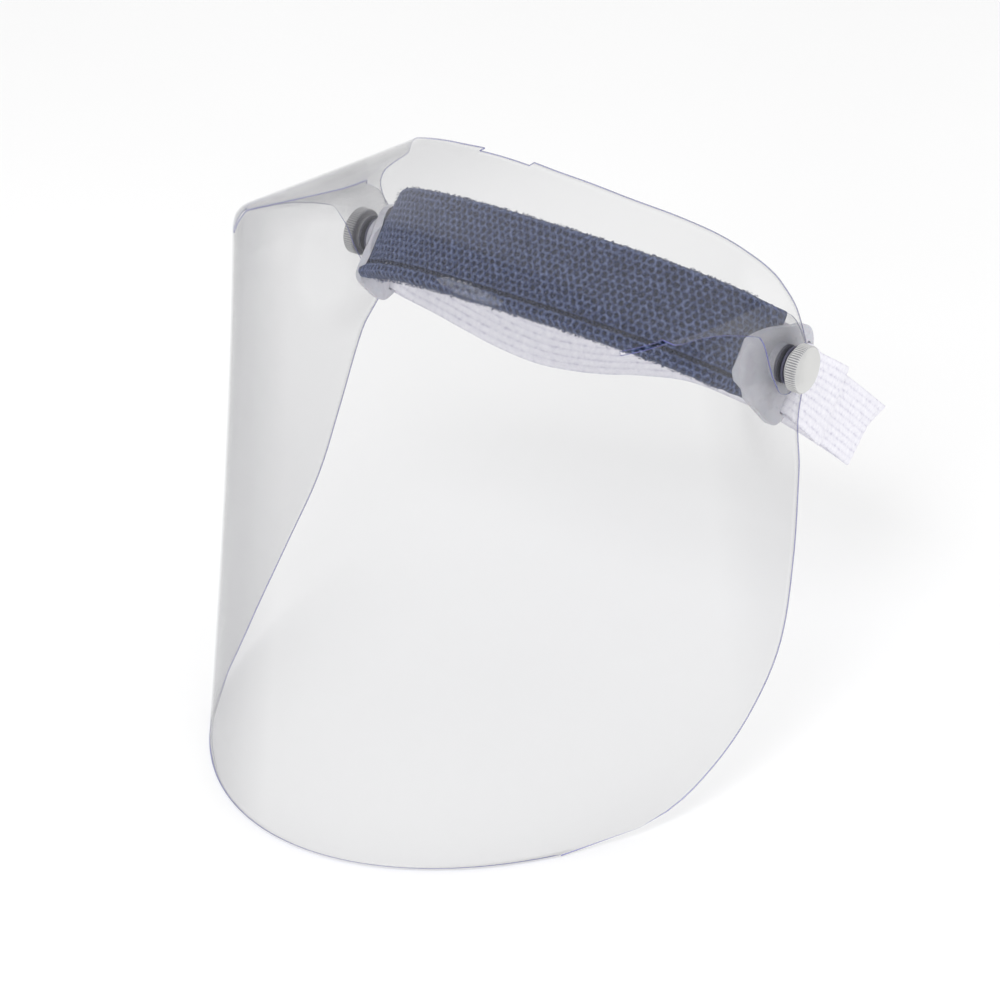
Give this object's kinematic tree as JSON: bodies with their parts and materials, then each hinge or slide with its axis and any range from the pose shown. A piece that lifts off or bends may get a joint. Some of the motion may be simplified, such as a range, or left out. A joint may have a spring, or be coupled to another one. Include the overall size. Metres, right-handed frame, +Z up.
{
  "type": "face shield",
  "caption": "Clear face shield visor that tilts on ribbed temple knobs of a padded towelling headband, held on by an elastic strap behind the head.",
  "frame": {"origin": "halfway between the two visor pivots, on the pivot axis, in the middle of the head opening", "axes": "+Z up, -Y the front of the face, +X the wearer's left; the pivot axis is X. Stored upright with the visor down: its lower edge is level and the headband's plane rises 40 degrees to the front"},
  "size_m": [0.221, 0.2633, 0.2322],
  "materials": {
    "clear_sheet": "clear plastic sheet with polished faces",
    "knob_plastic": "satin white moulding",
    "frame_plastic": "natural translucent white moulding",
    "washer_plastic": "natural white",
    "towelling": "honeycomb towelling with short loops",
    "foam": "soft open-cell foam",
    "elastic": "ribbed woven elastic",
    "thread": "polyester thread",
    "steel": "zinc plated"
  },
  "bodies": {
    "headband": {"headband_strip": "frame_plastic", "end_plate_left": "frame_plastic", "end_plate_right": "frame_plastic", "sweatband_sleeve": "towelling", "brow_pad": "foam", "elastic_strap": "elastic", "strap_stitching_left": "thread", "strap_stitching_right": "thread", "pivot_nut_left": "steel", "pivot_nut_right": "steel", "inner_washer_left": "washer_plastic", "inner_washer_right": "washer_plastic"},
    "visor": {"visor_sheet": "clear_sheet"},
    "knob_left": {"knob_cap_left": "knob_plastic", "knob_stud_left": "steel", "outer_washer_left": "washer_plastic"},
    "knob_right": {"knob_cap_right": "knob_plastic", "knob_stud_right": "steel", "outer_washer_right": "washer_plastic"}
  },
  "joints": [
    {"name": "visor_tilt", "type": "hinge", "parent": "headband", "child": "visor", "pos_m": [0, 0, 0], "axis": [-1, 0, 0], "range_deg": [-10, 80]},
    {"name": "knob_left_turn", "type": "hinge", "parent": "headband", "child": "knob_left", "pos_m": [0.1, 0, 0], "axis": [1, 0, 0], "range_deg": [0, 540]},
    {"name": "knob_right_turn", "type": "hinge", "parent": "headband", "child": "knob_right", "pos_m": [-0.1, 0, 0], "axis": [-1, 0, 0], "range_deg": [0, 540]}
  ]
}
